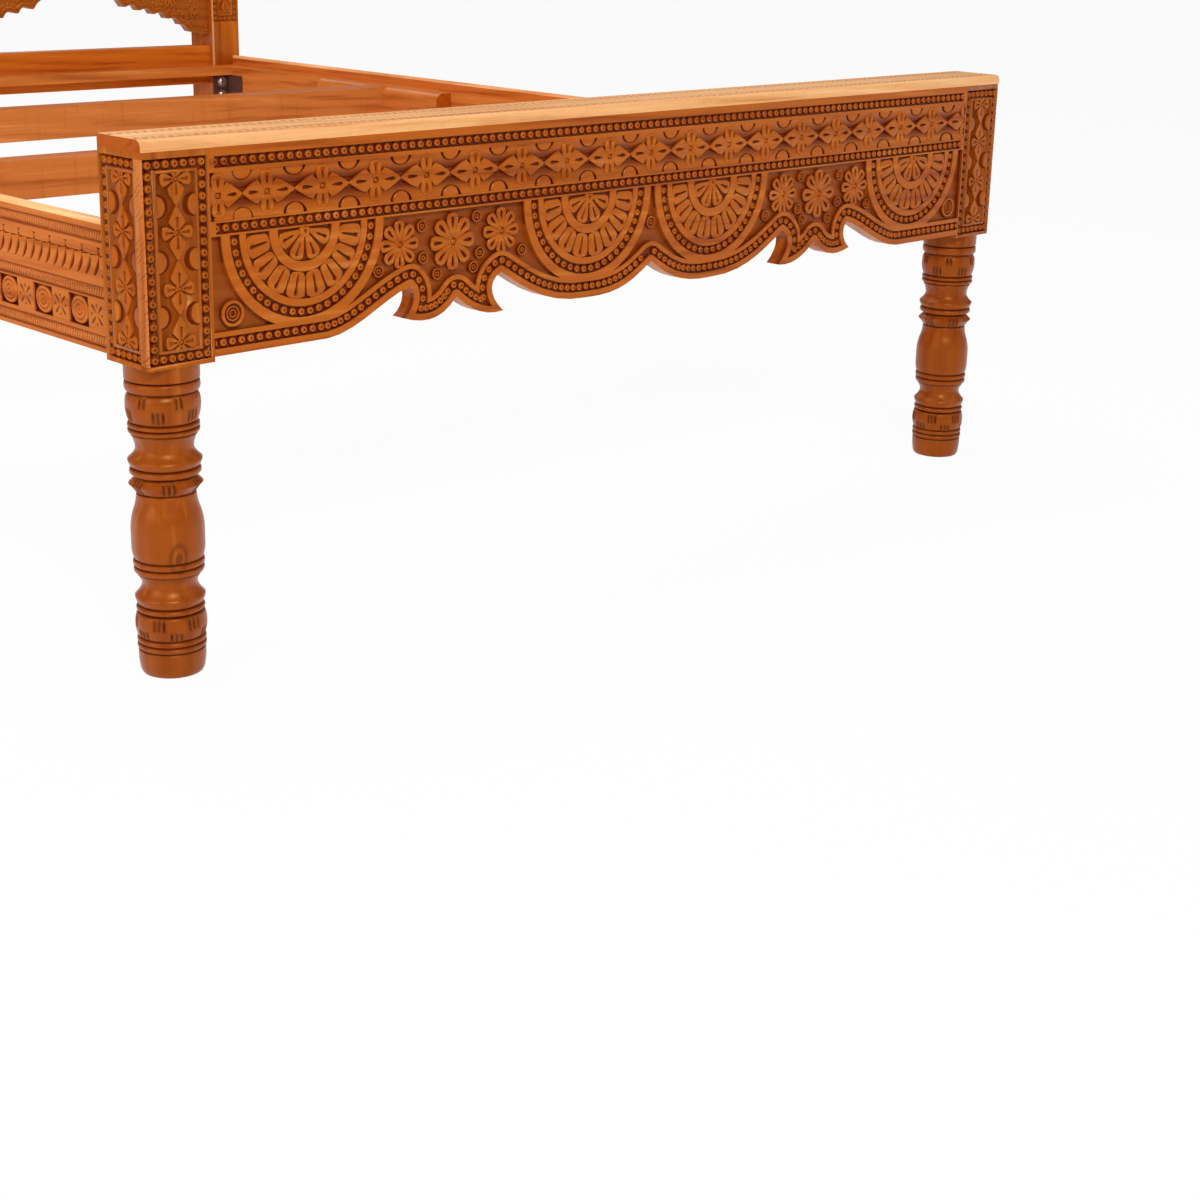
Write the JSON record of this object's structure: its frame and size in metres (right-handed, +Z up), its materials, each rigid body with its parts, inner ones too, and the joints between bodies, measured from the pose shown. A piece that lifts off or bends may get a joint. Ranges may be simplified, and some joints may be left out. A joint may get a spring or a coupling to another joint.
{
  "type": "bed frame",
  "caption": "Wooden bed frame with a scalloped carved footboard on turned legs, carved side rails, cross beams for a mattress base and an arched headboard",
  "frame": {"origin": "On the floor, in the middle of the bed's width and length", "axes": "X runs across the bed, to the right as seen from the footboard end; Y runs from the footboard to the headboard; Z is up"},
  "size_m": [1.65, 2.22, 1.206],
  "materials": {
    "teak": "satin oiled teak, orange-brown",
    "teak_light": "satin oiled teak, lighter plain boards",
    "teak_dark": "raw end grain of dowels and pegs",
    "dark_steel": "dark, slightly rusted",
    "bright_steel": "zinc plated"
  },
  "bodies": {
    "root": {"foot_post_left": "teak", "foot_post_right": "teak", "foot_rail": "teak", "foot_back_board": "teak_light", "foot_cap": "teak_light", "foot_ledge": "teak_light", "side_rail_left": "teak", "side_rail_right": "teak", "cross_beam_front": "teak_light", "cross_beam_rear": "teak_light", "beam_block_1": "teak_light", "beam_block_2": "teak_light", "beam_block_3": "teak_light", "beam_block_4": "teak_light", "beam_block_5": "teak_light", "beam_block_6": "teak_light", "beam_block_7": "teak_light", "beam_block_8": "teak_light", "beam_cleat_1": "teak_light", "beam_cleat_2": "teak_light", "beam_cleat_3": "teak_light", "beam_cleat_4": "teak_light", "head_post_left": "teak", "head_post_right": "teak", "head_centre_post": "teak", "head_bottom_board": "teak_light", "head_ledge": "teak_light", "arch_panel_left": "teak", "arch_panel_right": "teak", "head_mid_rail": "teak", "head_upper_panel": "teak", "head_top_rail": "teak", "head_cap": "teak_light", "head_crest": "teak", "bracket_foot_left": "dark_steel", "bracket_foot_right": "dark_steel", "bracket_head_left": "dark_steel", "bracket_head_right": "dark_steel", "bracket_bolts": "bright_steel", "bracket_washers": "bright_steel", "bracket_screws": "dark_steel", "block_dowels": "teak_dark", "ledge_dowels": "teak_dark", "foot_cap_dowels": "teak_dark", "head_cap_dowels": "teak_dark", "crest_dowels": "teak_dark", "foot_pegs": "teak_dark", "head_pegs": "teak_dark"}
  },
  "joints": []
}
